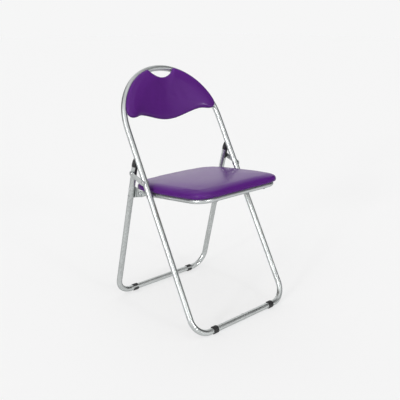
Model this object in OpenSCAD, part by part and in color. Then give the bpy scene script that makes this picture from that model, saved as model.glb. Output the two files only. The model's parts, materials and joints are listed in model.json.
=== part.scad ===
// Folding dining chair: two bent steel tube frames, a padded seat on a tube ring,
// a padded backrest on the hoop and a pair of link straps.
// Millimetres, Z up. The origin is on the floor under the middle of the chair.
// The sitter faces -Y.

/* [Frames] */
// Height from the floor to the top of the hoop
height = 798.5; // [780:0.5:820]
// Distance between the two floor bars, centre to centre
bar_gap = 424; // [410:1:440]
// Lean of the front frame from upright, degrees
lean = 29; // [28:0.1:30]
// Lean of the rear legs from upright, degrees
rear_lean = 14.3; // [13.5:0.1:15]
// Outer diameter of the frame tubes
tube_d = 19; // [18:0.1:20]
// Wall of the frame tubes
tube_wall = 1.2; // [0.8:0.1:2]
// Radius of the bends beside the floor bars, to the tube centre
bend_r = 57; // [40:1:70]
// Radius of the hoop, to the tube centre
hoop_r = 200; // [190:1:205]
// Width of the front frame at the floor, centre to centre
front_foot_w = 413.6; // [404:0.2:420]
// Width of the rear frame at the floor, centre to centre
rear_foot_w = 411; // [406:0.2:418]
// How far in the rear legs' top ends stand from the front legs beside them, centre to centre
rear_top_inset = 0.29; // [0:0.01:1]
// Length of the rear legs from the floor bar up, to the cut ends
rear_leg_len = 503; // [496:1:506]
// Length of the sleeve inside the welded joint of the front frame
sleeve_len = 60; // [30:1:90]

/* [Feet] */
// Wall of the rubber feet
foot_wall = 2.4; // [1.8:0.1:3.5]
// Length of a foot along the bar
foot_len = 25; // [15:1:35]
// Distance between a pair of feet
foot_span = 258; // [220:1:270]
// Depth of the flat that a foot stands on
foot_flat = 0.3; // [0.2:0.1:1]
// Opening of the C of a foot, degrees
foot_slit = 50; // [30:1:80]

/* [Pivots] */
// Seat pivot, along the front leg from the floor bar
seat_pivot_s = 460.5; // [455:0.5:464]
// Link pivot, along the front leg from the floor bar
front_link_s = 508.3; // [500:0.1:514]
// Link pivot, along the rear leg from the floor bar
rear_link_s = 478.6; // [470:0.1:482]
// Rear seat pivot, along the rear leg from the floor bar
bracket_s = 411.1; // [404:0.1:416]
// Rear seat pivot, forward of the rear leg's centre line
bracket_reach = 23.4; // [21:0.1:26]
// Diameter of the pivot rivets
rivet_d = 6; // [5:0.1:7]
// Diameter of the rivet heads
rivet_head_d = 11; // [9:0.5:13]
// Height of the rivet heads
rivet_head_h = 1.8; // [1:0.1:2.2]
// Radial clearance between a rivet and what turns on it
running_gap = 0.05; // [0.02:0.01:0.1]
// Gap beside parts that move past each other
side_gap = 0.3; // [0.2:0.05:0.5]

/* [Links] */
// Width of the link straps
link_w = 17; // [14:0.5:19]
// Thickness of the link straps
link_t = 2; // [1.5:0.1:3]

/* [Rear brackets] */
// Distance between the two rivets that hold a bracket
bracket_rivet_gap = 25; // [20:1:30]
// Diameter of the bracket rivets
bracket_rivet_d = 5; // [4:0.1:6]
// Thickness of the bracket plate
bracket_t = 2; // [1.5:0.1:2.5]

/* [End caps] */
// Height of an end cap above the tube end, before the front leg's wedge is cut off
cap_h = 33; // [26:1:38]
// Height where an end cap starts to narrow
cap_straight = 6; // [3:0.5:12]
// Radius of the narrowing sides of an end cap
cap_side_r = 55; // [45:1:70]
// How far a cap stands proud of the tube
cap_lip = 0.7; // [0.3:0.1:1.2]
// Length of the cap's plug inside the tube
cap_plug = 18; // [10:1:30]
// Length of the cap's tongue down the front of the rear leg
cap_tongue = 32; // [20:1:40]
// Width of the tongue
cap_tongue_w = 8.5; // [6:0.5:11]
// Thickness of the tongue
cap_tongue_t = 1.2; // [0.8:0.1:2]

/* [Seat] */
// Tilt of the seat, front edge higher, degrees
seat_tilt = 5.7; // [4.5:0.1:7]
// Outer diameter of the seat ring tube
ring_d = 16; // [14:0.1:17]
// Wall of the seat ring tube
ring_wall = 1.2; // [0.8:0.1:2]
// Front of the seat ring ahead of the seat pivot
ring_front = 203; // [190:1:210]
// Gap between the seat ring and the legs beside it at the pivots
ring_gap = 6.73; // [5:0.01:12]
// How far each side of the ring comes in from its rear end to its front
ring_narrow = 10; // [4:1:18]
// Radius of the ring's front corners, to the tube centre
ring_corner_r = 48; // [35:1:60]
// Thickness of the pressed ends of the ring
lug_t = 3; // [2.4:0.1:4]
// Gap between the seat pad and the legs beside it
pad_gap = 6.73; // [6:0.01:18]
// Front of the seat pad ahead of the seat pivot
pad_front = 218; // [214:1:225]
// Rear of the seat pad behind the seat pivot
pad_rear = 145.5; // [130:0.5:155]
// Thickness of the seat board
board_t = 8; // [6:0.5:10]
// Height of the pad's edge above the seat ring
pad_edge_h = 22.5; // [18:0.5:28]
// Rise of the pad's crown above its edge
pad_crown = 10.5; // [4:0.5:12]

/* [Backrest] */
// Gap from the hoop's centre line in to the edge of the backrest
back_inset = 0.2; // [0:0.1:6]
// Lowest point of the backrest above the centre of the hoop
back_low = 22; // [10:1:30]
// How far the outer lobes hang below the dip beside them
lobe_drop = 5; // [3:0.5:12]
// Height of the dips above the lowest point
dip_rise = 17.5; // [12:0.5:30]
// Radius of the lobes at the lower corners
lobe_r = 22; // [14:1:26]
// How far in from the lobes' centres the dips lie
dip_in = 37.5; // [30:0.5:60]
// Depth of the hand hole below the hoop's centre line
hand_depth = 39.5; // [32:0.5:44]
// Radius of the hand hole's lower edge
hand_r = 63; // [50:1:70]
// Radius of the tips beside the hand hole
tip_r = 8; // [7.5:0.5:12]
// Depth of the backrest's hollow
dish_depth = 37; // [10:1:42]
// Thickness of the backrest board
back_board_t = 5; // [4:0.5:7]
// Thickness of the backrest padding in front of the board
back_pad_t = 7; // [6:0.5:16]

/* [Screws] */
// Diameter of the screws
screw_d = 4; // [3.5:0.1:5]
// Diameter of the screw heads
screw_head_d = 8; // [7:0.5:10]
// Height of the screw heads
screw_head_h = 2.4; // [1.8:0.1:3]

/* [Hidden] */

$fn = 48;
tube_r = tube_d / 2;
ring_r = ring_d / 2;
// Small length that carries a cut past a face
past = 1;
paint = "silver";
vinyl = "rebeccapurple";
rubber = "#222224";

// Places of the two floor bars. The hoop's back and the front feet bound the chair.
bar_z = tube_r + foot_wall - foot_flat;
foot_r = tube_r + foot_wall;
hoop_s = (height - bar_z - tube_r) / cos(lean) - hoop_r;
hoop_back = (hoop_s + hoop_r) * sin(lean) + tube_r;
front_y = (foot_r - hoop_back) / 2;
rear_y = front_y + bar_gap;

// Taper of the front legs: each is a tangent of the hoop
front_half = front_foot_w / 2;
taper = acos(hoop_r / norm([front_half, hoop_s])) - atan2(hoop_s, front_half);
function front_x(s) = front_half - s * tan(taper);
rear_top_x = front_x(front_link_s) - rear_top_inset;
rear_taper = atan2(rear_foot_w / 2 - rear_top_x, rear_leg_len);
function rear_x(s) = rear_foot_w / 2 - s * tan(rear_taper);
// How far from its centre line a tube that leans by an angle stands proud under a flat face of radius r
function proud(angle, r) = tube_r / cos(angle) + r * tan(abs(angle));

// Pivot points in the side view, as [y, z]
function front_point(s) = [front_y + s * sin(lean), bar_z + s * cos(lean)];
function rear_point(s, reach = 0) = [rear_y - s * sin(rear_lean) - reach * cos(rear_lean),
    bar_z + s * cos(rear_lean) - reach * sin(rear_lean)];
seat_pivot = front_point(seat_pivot_s);
front_link = front_point(front_link_s);
rear_link = rear_point(rear_link_s);
rear_pivot = rear_point(bracket_s, bracket_reach);

// The rear pivot in the seat's own frame, as [back, up]
function in_seat(p) = [(p[0] - seat_pivot[0]) * cos(seat_tilt) - (p[1] - seat_pivot[1]) * sin(seat_tilt),
    (p[0] - seat_pivot[0]) * sin(seat_tilt) + (p[1] - seat_pivot[1]) * cos(seat_tilt)];
lug = in_seat(rear_pivot);

// Sideways places: faces that lie against each other
leg_in_x = min(front_x(seat_pivot_s), rear_x(bracket_s)) - tube_r;
ring_out_x = leg_in_x - ring_gap;
ring_rear_x = ring_out_x - ring_r;
ring_front_x = ring_rear_x - ring_narrow;
bracket_x = ring_out_x + side_gap;
spacer_r = 6;
head_r = rivet_head_d / 2;
pivot_in_x = front_x(seat_pivot_s) - proud(taper, spacer_r);
pivot_out_x = front_x(seat_pivot_s) + proud(taper, head_r);
link_x = max(front_x(front_link_s) + proud(taper, link_w / 2),
    rear_x(rear_link_s) + proud(rear_taper, link_w / 2)) + side_gap;

// Frames of reference: X stays, the second axis runs along the member
module on_front() { translate([0, front_y, bar_z]) rotate([90 - lean, 0, 0]) children(); }
module on_rear() { translate([0, rear_y, bar_z]) rotate([90 + rear_lean, 0, 0]) children(); }
module on_seat() { translate([0, seat_pivot[0], seat_pivot[1]]) rotate([-seat_tilt, 0, 0]) children(); }
module mirrored() { children(); mirror([1, 0, 0]) children(); }
// The sitter's left is +X
module side(left) { if (left) children(); else mirror([1, 0, 0]) children(); }

// Round bar that starts at the origin and runs along +Y, and a ring of it about the origin
module rod(len, r) { rotate([-90, 0, 0]) cylinder(h = len, r = r); }
module ring_rod(radius, r) { rotate_extrude() translate([radius, 0]) circle(r = r); }
module half_space() { translate([-8 * hoop_r, 0, -8 * hoop_r]) cube(16 * hoop_r); }
// Half of a bent frame in the XY plane: the half bar from X = 0, a bend, and a leg that leans in by an angle.
// Children are placed at the end of the leg, with the leg along +Y.
module bent_half(bar, radius, angle, len, r) {
    translate([bar, 0, 0]) rotate([0, 0, 90]) rod(bar + past, r);
    translate([bar, radius, 0]) {
        intersection() {
            ring_rod(radius, r);
            rotate([0, 0, -90]) half_space();
            rotate([0, 0, angle]) mirror([0, 1, 0]) half_space();
        }
        rotate([0, 0, angle]) translate([radius, 0, 0]) {
            rod(len, r);
            translate([0, len, 0]) children();
        }
    }
}
module both_halves() {
    mirrored() intersection() {
        union() children();
        rotate([0, 0, -90]) half_space();
    }
}
function polar(centre, radius, angle) = centre + radius * [cos(angle), sin(angle)];

// A cylinder along X at a point of the side view
module x_rod(point, x0, x1, r) {
    translate([x0, point[0], point[1]]) rotate([0, 90, 0]) cylinder(h = x1 - x0, r = r);
}

// Bore through a leg whose centre is at x, for a rivet of diameter d
module leg_bore(point, x, d) {
    x_rod(point, x - tube_d, x + tube_d, d / 2 + running_gap);
}

// A low domed head whose flat lies on the XY plane
module dome(d, h) {
    ball_r = (d * d / 4 + h * h) / (2 * h);
    intersection() {
        translate([0, 0, h - ball_r]) sphere(r = ball_r, $fn = 96);
        cylinder(h = 2 * h, r = d);
    }
}
// A rivet along +X with a head at each end of its grip. The shank runs on into the heads.
module rivet(point, x0, x1, d, head_d) {
    bite = rivet_head_h / 2;
    x_rod(point, x0 - bite, x1 + bite, d / 2);
    translate([x1, point[0], point[1]]) rotate([0, 90, 0]) dome(head_d, rivet_head_h);
    translate([x0, point[0], point[1]]) rotate([0, -90, 0]) dome(head_d, rivet_head_h);
}

// Plate in the XY plane: straight edges tangent to a round corner at each point, in counterclockwise order
module round_plate(points, radii, t) {
    n = len(points);
    edges = [for (i = [0:n - 1]) let (j = (i + 1) % n, run = points[j] - points[i],
        a = atan2(run[1], run[0]) - 90 + asin((radii[i] - radii[j]) / norm(run)))
        each [polar(points[i], radii[i], a), polar(points[j], radii[j], a)]];
    linear_extrude(t) union() {
        polygon(edges);
        for (i = [0:n - 1]) translate(points[i]) circle(r = radii[i]);
    }
}

// Solid between rings of points that run counterclockwise seen from above, closed at its two ends by fans.
// The first few bands have their diagonals turned, to lie parallel to the facets of another piece.
module loft(rings, low, high, turned = 0) {
    n = len(rings[0]);
    m = len(rings);
    side_faces = [for (k = [0:m - 2], i = [0:n - 1]) let (j = (i + 1) % n, a = k * n, b = a + n)
        each (k < turned ? [[a + i, b + i, a + j], [b + i, b + j, a + j]]
            : [[a + i, b + i, b + j], [a + i, b + j, a + j]])];
    low_faces = [for (i = [0:n - 1]) [i, (i + 1) % n, m * n]];
    high_faces = [for (i = [0:n - 1]) [(m - 1) * n + (i + 1) % n, (m - 1) * n + i, m * n + 1]];
    polyhedron([each [for (ring = rings) each ring], low, high], concat(side_faces, low_faces, high_faces));
}
// Outline drawn in by a distance square to itself, and one shrunk towards a centre
function inset(outline, d) = let (n = len(outline)) [for (i = [0:n - 1])
    let (run = outline[(i + 1) % n] - outline[(i + n - 1) % n])
    outline[i] + d * [-run[1], run[0]] / norm(run)];
function shrunk(outline, centre, k) = [for (p = outline) centre + k * (p - centre)];
function lifted(outline, z) = [for (p = outline) [p[0], p[1], z]];

// Front frame: one closed loop of tube, welded in the middle of the floor bar
corner_x = front_half - bend_r * (1 + sin(taper)) / cos(taper);
hoop_c = [0, hoop_s];
// Tabs welded inside the hoop, which the backrest is screwed to
tab_angles = [27, 62];
tab_w = 22;
tab_len = 24;
tab_t = 2;
tab_hole_in = 18;
seam_r = 0.7;
// Plane of the backrest board's rim ahead of the hoop's centre line
rim_z = 7;
module tabs() {
    for (a = tab_angles) mirrored() translate(hoop_c) rotate([0, 0, a])
        translate([hoop_r - tab_len, -tab_w / 2, rim_z - tab_t]) cube([tab_len - tube_r / 2, tab_w, tab_t]);
}
module at_tab_holes() {
    for (a = tab_angles) mirrored() translate(hoop_c) rotate([0, 0, a])
        translate([hoop_r - tab_hole_in, 0, rim_z]) children();
}
leg_len = norm(polar([corner_x, bend_r], bend_r, taper) - polar(hoop_c, hoop_r, taper));
module front_loop(r) {
    both_halves() bent_half(corner_x, bend_r, taper, leg_len, r) intersection() {
        translate([-hoop_r, 0, 0]) ring_rod(hoop_r, r);
        half_space();
    }
}
module front_frame_tube() {
    color(paint) difference() {
        on_front() difference() {
            union() {
                front_loop(tube_r);
                rotate([0, 90, 0]) ring_rod(tube_r, seam_r);
                tabs();
            }
            front_loop(tube_r - tube_wall);
            at_tab_holes() translate([0, 0, -tab_t - past])
                cylinder(h = tab_t + 2 * past, r = screw_d / 2 + running_gap);
        }
        mirrored() leg_bore(seat_pivot, front_x(seat_pivot_s), rivet_d);
        mirrored() leg_bore(front_link, front_x(front_link_s), rivet_d);
    }
}
module front_frame_sleeve() {
    sleeve_r = tube_r - tube_wall - running_gap;
    color("gray") on_front() rotate([0, 0, -90]) translate([0, -sleeve_len / 2, 0]) difference() {
        rod(sleeve_len, sleeve_r);
        translate([0, -past, 0]) rod(sleeve_len + 2 * past, sleeve_r - tube_wall);
    }
}

// Feet: rubber C clips round the floor bars, flat where they stand, open up and inwards
module foot(y, inward) {
    slit_mid = 90 - inward * 65;
    lip_r = foot_wall * 0.62;
    bore_r = tube_r + running_gap;
    slit_edge = foot_r * 3;
    translate([0, y, bar_z]) rotate([90, 0, 90]) translate([0, 0, foot_span / 2 - foot_len / 2])
        difference() {
            union() {
                difference() {
                    cylinder(h = foot_len, r = foot_r);
                    linear_extrude(3 * foot_len, center = true) polygon([[0, 0],
                        polar([0, 0], slit_edge, slit_mid - foot_slit / 2),
                        polar([0, 0], slit_edge, slit_mid + foot_slit / 2)]);
                }
                for (a = [-1, 1]) translate(polar([0, 0], tube_r + lip_r, slit_mid + a * foot_slit / 2))
                    cylinder(h = foot_len, r = lip_r);
            }
            translate([0, 0, -past]) cylinder(h = foot_len + 2 * past, r = bore_r);
            translate([-foot_r, -bar_z - foot_wall, -past]) cube([2 * foot_r, foot_wall, foot_len + 2 * past]);
        }
}
module front_foot_left() { color(rubber) side(true) foot(front_y, 1); }
module front_foot_right() { color(rubber) side(false) foot(front_y, 1); }
module rear_foot_left() { color(rubber) side(true) foot(rear_y, -1); }
module rear_foot_right() { color(rubber) side(false) foot(rear_y, -1); }

// Backrest outline in the plane of the hoop: a wavy lower edge, two lobes, the hoop's curve and a hand hole
back_r = hoop_r - back_inset;
lobe_c = [sqrt(pow(back_r - lobe_r, 2) - pow(back_low + dip_rise - lobe_drop + lobe_r, 2)),
    hoop_s + back_low + dip_rise - lobe_drop + lobe_r];
hand_c = [0, hoop_s + hoop_r - hand_depth + hand_r];
hand_off = hand_c[1] - hoop_s;
tip_along = (pow(back_r - tip_r, 2) - pow(hand_r + tip_r, 2) + hand_off * hand_off) / (2 * hand_off);
tip_c = [sqrt(pow(back_r - tip_r, 2) - tip_along * tip_along), hoop_s + tip_along];
dip_x = lobe_c[0] - dip_in;
function wave(x) = hoop_s + back_low + (x < dip_x ? dip_rise * (1 - cos(180 * x / dip_x)) / 2
    : dip_rise - lobe_drop * (1 - cos(180 * (x - dip_x) / (lobe_c[0] - dip_x))) / 2);
wave_steps = 13;
lobe_to = atan2(lobe_c[1] - hoop_s, lobe_c[0]);
tip_from = atan2(tip_along, tip_c[0]);
tip_to = atan2(hand_c[1] - tip_c[1], -tip_c[0]);
// Angle that a step turns on the lobes and tips, and on the two large arcs
fine_turn = 5;
arc_steps = 10;
back_half = concat(
    [for (i = [0:wave_steps - 1]) let (x = lobe_c[0] * i / wave_steps) [x, wave(x)]],
    [for (i = [0:fine_turn]) polar(lobe_c, lobe_r, -90 + (lobe_to + 90) * i / fine_turn)],
    [for (i = [1:arc_steps]) polar(hoop_c, back_r, lobe_to + (tip_from - lobe_to) * i / arc_steps)],
    [for (i = [1:fine_turn]) polar(tip_c, tip_r, tip_from + (tip_to - tip_from) * i / fine_turn)],
    [for (i = [1:fine_turn]) polar(hand_c, hand_r, (tip_to - 180) + (-90 - tip_to + 180) * i / fine_turn)]);
back_n = len(back_half);
back_outline = concat(back_half, [for (i = [back_n - 2:-1:1]) [-back_half[i][0], back_half[i][1]]]);
back_mid = [0, hoop_s + 100];

// Hollow of the backrest: a dish round the hoop's centre, level near the hoop
dish_r = hoop_r - tab_len - 5;
function dish(p) = -dish_depth * pow(max(0, 1 - pow(norm([p[0], p[1] - hoop_s]) / dish_r, 2)), 1.3);
function dished(outline, z) = [for (p = outline) [p[0], p[1], z + dish(p)]];
back_rings = [0.25, 0.46, 0.64, 0.81, 0.88];
back_last = len(back_rings) - 1;
back_edge_in = 7;
module backrest_board() {
    edge = inset(back_outline, back_edge_in);
    front_z = rim_z + back_board_t;
    color("dimgray") on_front() difference() {
        loft(concat([for (k = back_rings) dished(shrunk(edge, back_mid, k), rim_z)],
            [dished(edge, rim_z), dished(edge, front_z)],
            [for (k = [back_last:-1:0]) dished(shrunk(edge, back_mid, back_rings[k]), front_z)]),
            dished([back_mid], rim_z)[0], dished([back_mid], front_z)[0]);
        at_tab_holes() translate([0, 0, -past]) cylinder(h = back_board_t, r = screw_d / 2 + running_gap);
    }
}
module backrest_pad() {
    seat_z = rim_z + back_board_t + side_gap;
    top_z = rim_z + back_board_t + back_pad_t;
    low_z = tube_r + side_gap;
    recess = back_edge_in - side_gap;
    puff = 3;
    inner = inset(back_outline, recess);
    soft = inset(back_outline, 6.5);
    color(vinyl) on_front() loft(concat(
        [for (k = back_rings) dished(shrunk(inner, back_mid, k), seat_z)],
        [dished(inner, seat_z), dished(inner, low_z), dished(inset(back_outline, 1.5), low_z),
            dished(back_outline, low_z + 3), dished(inset(back_outline, 0.8), top_z - 4.8),
            dished(inset(back_outline, 3), top_z - 1.8), dished(soft, top_z)],
        [for (k = [0.88, 0.68, 0.46, 0.24]) dished(shrunk(soft, back_mid, k), top_z + puff * (1 - k * k))]),
        dished([back_mid], seat_z)[0], dished([back_mid], top_z + puff)[0], len(back_rings));
}
module backrest_screws() {
    color("gainsboro") on_front() at_tab_holes() {
        translate([0, 0, -tab_t - screw_head_h / 2])
            cylinder(h = back_board_t - past + tab_t - side_gap + screw_head_h / 2, r = screw_d / 2);
        translate([0, 0, -tab_t]) mirror([0, 0, 1]) dome(screw_head_d, screw_head_h);
    }
}

// Seat pivots: a rivet through the front leg, a spacer and the seat ring
module seat_pivot_rivet() {
    rivet(seat_pivot, ring_x(0) - ring_r - 2 * side_gap, pivot_out_x, rivet_d, rivet_head_d);
}
module seat_pivot_rivet_left() { color(paint) side(true) seat_pivot_rivet(); }
module seat_pivot_rivet_right() { color(paint) side(false) seat_pivot_rivet(); }
module seat_pivot_spacer() {
    difference() {
        x_rod(seat_pivot, ring_x(0) + ring_r + 2 * side_gap, pivot_in_x, spacer_r);
        x_rod(seat_pivot, ring_x(0), pivot_in_x + past, rivet_d / 2 + running_gap);
    }
}
module seat_pivot_spacer_left() { color("gray") side(true) seat_pivot_spacer(); }
module seat_pivot_spacer_right() { color("gray") side(false) seat_pivot_spacer(); }

// Links: straps outside both frames. The rivet at the rear end stops short of the leg.
module link_plate() {
    run = front_link - rear_link;
    reach = norm(run);
    hole_r = rivet_d / 2 + running_gap;
    translate([link_x, rear_link[0], rear_link[1]]) rotate([90, 0, 90]) rotate([0, 0, atan2(run[1], run[0])])
        linear_extrude(link_t) difference() {
            union() {
                circle(r = link_w / 2);
                translate([0, -link_w / 2]) square([reach, link_w]);
                translate([reach, 0]) circle(r = link_w / 2);
            }
            circle(r = hole_r);
            translate([reach, 0]) circle(r = hole_r);
        }
}
module link_left() { color(paint) side(true) link_plate(); }
module link_right() { color(paint) side(false) link_plate(); }
module link_front_rivet() {
    rivet(front_link, front_x(front_link_s) - proud(taper, head_r), link_x + link_t + side_gap,
        rivet_d, rivet_head_d);
}
module link_front_rivet_left() { color(paint) side(true) link_front_rivet(); }
module link_front_rivet_right() { color(paint) side(false) link_front_rivet(); }
module link_rear_rivet() {
    x_rod(rear_link, link_x, link_x + link_t + rivet_head_h / 2, rivet_d / 2);
    translate([link_x + link_t, rear_link[0], rear_link[1]]) rotate([0, 90, 0]) dome(rivet_head_d, rivet_head_h);
}
module link_rear_rivet_left() { color(paint) side(true) link_rear_rivet(); }
module link_rear_rivet_right() { color(paint) side(false) link_rear_rivet(); }

// Seat ring: a U of thin tube whose ends are pressed flat round the rear pivots
ring_press = 22;
press_y = lug[0] - ring_press;
ring_slope = atan2(ring_narrow, ring_front + press_y);
ring_bend_x = ring_front_x - ring_corner_r * (1 - sin(ring_slope)) / cos(ring_slope);
ring_leave = [ring_bend_x, -ring_front + ring_corner_r] + polar([0, 0], ring_corner_r, -ring_slope);
ring_leg = norm(ring_leave - [ring_rear_x, press_y]);
function ring_x(y) = ring_rear_x + (y - press_y) * tan(ring_slope);
// Screws that hold the board: two through the front of the ring, two through tabs welded inside it
screw_front_x = ring_front_x - ring_corner_r - 15;
seat_tab_y = 38;
seat_tab_in = 16;
seat_tab_x = ring_rear_x - seat_tab_in;
module at_front_screws() { mirrored() translate([screw_front_x, -ring_front, -ring_r]) children(); }
module at_tab_screws() { mirrored() translate([seat_tab_x, seat_tab_y, ring_r - tab_t - seat_tab_drop]) children(); }
lug_r = ring_r + 2;
seat_tab_drop = 0.5;
module ring_loop(len, r) {
    translate([0, -ring_front, 0]) both_halves() bent_half(ring_bend_x, ring_corner_r, -ring_slope, len, r);
}
module seat_ring_end() {
    hull() {
        translate([ring_rear_x, press_y - past, 0]) rotate([-90, 0, 0]) cylinder(h = past, r = ring_r - 0.1, $fn = 32);
        translate([ring_out_x - lug_t, lug[0] - lug_r, lug[1] - lug_r]) cube([lug_t, past / 2, 2 * lug_r]);
    }
    translate([ring_out_x - lug_t, 0, 0]) rotate([90, 0, 90]) linear_extrude(lug_t) union() {
        translate(lug) circle(r = lug_r);
        translate([lug[0] - lug_r, lug[1] - lug_r]) square([lug_r, 2 * lug_r]);
    }
    translate([seat_tab_x - tab_w / 2, seat_tab_y - tab_w / 2, ring_r - tab_t - seat_tab_drop])
        cube([ring_x(seat_tab_y) - seat_tab_x + tab_w / 2, tab_w, tab_t]);
}
module seat_ring_tube() {
    color(paint) on_seat() difference() {
        union() {
            ring_loop(ring_leg, ring_r);
            mirrored() seat_ring_end();
        }
        ring_loop(ring_leg - 2 * past, ring_r - ring_wall);
        mirrored() x_rod([0, 0], ring_x(0) - ring_d, ring_x(0) + ring_d, rivet_d / 2 + running_gap);
        mirrored() x_rod(lug, ring_out_x - ring_d, ring_out_x + past, rivet_d / 2 + running_gap);
        at_front_screws() cylinder(h = 5 * ring_r, r = screw_d / 2 + running_gap, center = true);
        at_tab_screws() cylinder(h = 3 * tab_t, r = screw_d / 2 + running_gap, center = true);
    }
}

// Seat pad outline: a squarish oval, rounder at the rear, in the seat's frame
pad_mid_y = (pad_rear - pad_front) / 2;
pad_half_len = (pad_rear + pad_front) / 2;
pad_half_w = leg_in_x - pad_gap;
front_square = 7.2;
rear_square = 4.7;
pad_steps = 72;
function power(v, n) = sign(v) * pow(abs(v), 2 / n);
pad_outline = [for (i = [0:pad_steps - 1]) let (a = 360 * i / pad_steps, n = a < 180 ? rear_square : front_square)
    [pad_half_w * power(cos(a), n), pad_mid_y + pad_half_len * power(sin(a), n)]];
pad_mid = [0, pad_mid_y];
board_in = 6;
module seat_board() {
    color("burlywood") on_seat() difference() {
        translate([0, 0, ring_r]) linear_extrude(board_t) polygon(inset(pad_outline, board_in));
        at_front_screws() translate([0, 0, ring_d - past]) cylinder(h = board_t, r = screw_d / 2 + running_gap);
        at_tab_screws() cylinder(h = board_t - past + tab_t + seat_tab_drop, r = screw_d / 2 + running_gap);
    }
}
module seat_pad() {
    seat_z = ring_r + board_t + side_gap;
    low_z = ring_r + side_gap;
    edge_z = ring_r + pad_edge_h;
    recess = inset(pad_outline, board_in - side_gap);
    soft = inset(pad_outline, 11);
    color(vinyl) on_seat() loft(concat(
        [lifted(recess, seat_z), lifted(recess, low_z), lifted(inset(pad_outline, 2.5), low_z),
            lifted(inset(pad_outline, 0.7), low_z + 3), lifted(pad_outline, low_z + 9),
            lifted(inset(pad_outline, 1), edge_z - 7), lifted(inset(pad_outline, 4.5), edge_z - 2.5),
            lifted(soft, edge_z)],
        [for (k = [0.9, 0.75, 0.55, 0.3]) lifted(shrunk(soft, pad_mid, k), edge_z + pad_crown * (1 - k * k))]),
        [0, pad_mid_y, seat_z], [0, pad_mid_y, edge_z + pad_crown]);
}
module seat_screw(grip) {
    translate([0, 0, -screw_head_h / 2])
        cylinder(h = grip + board_t - past - side_gap + screw_head_h / 2, r = screw_d / 2);
    mirror([0, 0, 1]) dome(screw_head_d, screw_head_h);
}
module seat_screws() {
    color("gainsboro") on_seat() {
        at_front_screws() seat_screw(ring_d);
        at_tab_screws() seat_screw(tab_t + seat_tab_drop);
    }
}
module seat_rear_rivet() {
    rivet(rear_pivot, ring_out_x - lug_t, bracket_x + bracket_t + side_gap, rivet_d, rivet_head_d);
}
module seat_rear_rivet_left() { color(paint) side(true) seat_rear_rivet(); }
module seat_rear_rivet_right() { color(paint) side(false) seat_rear_rivet(); }

// Rear frame: a U of tube with a plastic cap on each end
rear_corner_x = rear_foot_w / 2 - bend_r * (1 + sin(rear_taper)) / cos(rear_taper);
rear_top = [rear_top_x, rear_leg_len];
bracket_rivet_s = [bracket_s - 2 - bracket_rivet_gap / 2, bracket_s - 2 + bracket_rivet_gap / 2];
rear_leave = polar([rear_corner_x, bend_r], bend_r, rear_taper);
module rear_loop(len, r) {
    both_halves() bent_half(rear_corner_x, bend_r, rear_taper, len, r);
}
module rear_frame_tube() {
    rear_len = norm(rear_top - rear_leave);
    color(paint) difference() {
        on_rear() difference() {
            rear_loop(rear_len, tube_r);
            rear_loop(rear_len + past, tube_r - tube_wall);
        }
        for (s = bracket_rivet_s) mirrored() leg_bore(rear_point(s), rear_x(s), bracket_rivet_d);
    }
}

// End caps: a plug, a bullet-shaped head cut to a wedge that lies along the front leg, and a tongue in front
cap_r = tube_r + cap_lip;
module end_cap() {
    plug_r = tube_r - tube_wall - running_gap;
    difference() {
        on_rear() translate([rear_top[0], rear_top[1], 0]) rotate([0, 0, rear_taper]) rotate([-90, 0, 0]) union() {
            translate([0, 0, -cap_plug]) cylinder(h = cap_plug, r = plug_r);
            rotate_extrude() union() {
                square([cap_r, cap_straight]);
                intersection() {
                    translate([0, cap_straight]) square([cap_r, cap_h - cap_straight]);
                    translate([cap_r - cap_side_r, cap_straight]) circle(r = cap_side_r, $fn = 360);
                }
            }
            intersection() {
                difference() {
                    translate([0, 0, -cap_tongue]) cylinder(h = cap_tongue + cap_straight, r = tube_r + cap_tongue_t);
                    translate([0, 0, -cap_tongue - past]) cylinder(h = cap_tongue + past, r = tube_r + running_gap);
                }
                translate([-cap_tongue_w / 2, -tube_d, -cap_tongue - past])
                    cube([cap_tongue_w, tube_d, cap_tongue + cap_straight / 2 + past]);
            }
        }
        on_front() translate([0, 0, -(tube_r + side_gap)]) cube([3 * hoop_r, 5 * hoop_r, 4 * hoop_r]);
    }
}
module end_cap_left() { color(rubber) side(true) end_cap(); }
module end_cap_right() { color(rubber) side(false) end_cap(); }

// Brackets: a pressed plate on the leg, stepped inwards to an ear that carries the rear pivot
base_r = 8.5;
ear_r = 10.5;
bracket_in_x = rear_x(bracket_s) - proud(rear_taper, bracket_rivet_gap / 2 + base_r);
step_at = tube_r - bracket_t;
module bracket_plate(x0, t) {
    translate([x0, 0, 0]) rotate([90, 0, 90]) round_plate([rear_pivot, rear_point(bracket_rivet_s[0]),
        rear_point(bracket_rivet_s[1])], [ear_r, base_r, base_r], t);
}
// Slab across the rear leg, from z0 to z1 ahead of its centre line
module ahead(z0, z1) {
    on_rear() translate([0, bracket_s - 3 * bracket_rivet_gap, z0]) cube([2 * hoop_r, 6 * bracket_rivet_gap, z1 - z0]);
}
module leg_bracket() {
    difference() {
        union() {
            intersection() {
                bracket_plate(bracket_in_x - bracket_t, bracket_t);
                ahead(-tube_d, tube_r);
            }
            intersection() {
                bracket_plate(bracket_x, bracket_t);
                ahead(step_at, 2 * tube_d + bracket_reach);
            }
            intersection() {
                bracket_plate(bracket_x, bracket_in_x - bracket_x);
                ahead(step_at, tube_r);
            }
        }
        x_rod(rear_pivot, bracket_x - past, bracket_in_x + past, rivet_d / 2 + running_gap);
        for (s = bracket_rivet_s)
            x_rod(rear_point(s), bracket_x - past, bracket_in_x + past, bracket_rivet_d / 2 + running_gap);
    }
}
module leg_bracket_left() { color(paint) side(true) leg_bracket(); }
module leg_bracket_right() { color(paint) side(false) leg_bracket(); }
module bracket_rivets() {
    for (s = bracket_rivet_s)
        rivet(rear_point(s), bracket_in_x - bracket_t, rear_x(s) + proud(rear_taper, head_r),
            bracket_rivet_d, rivet_head_d - 2);
}
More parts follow.
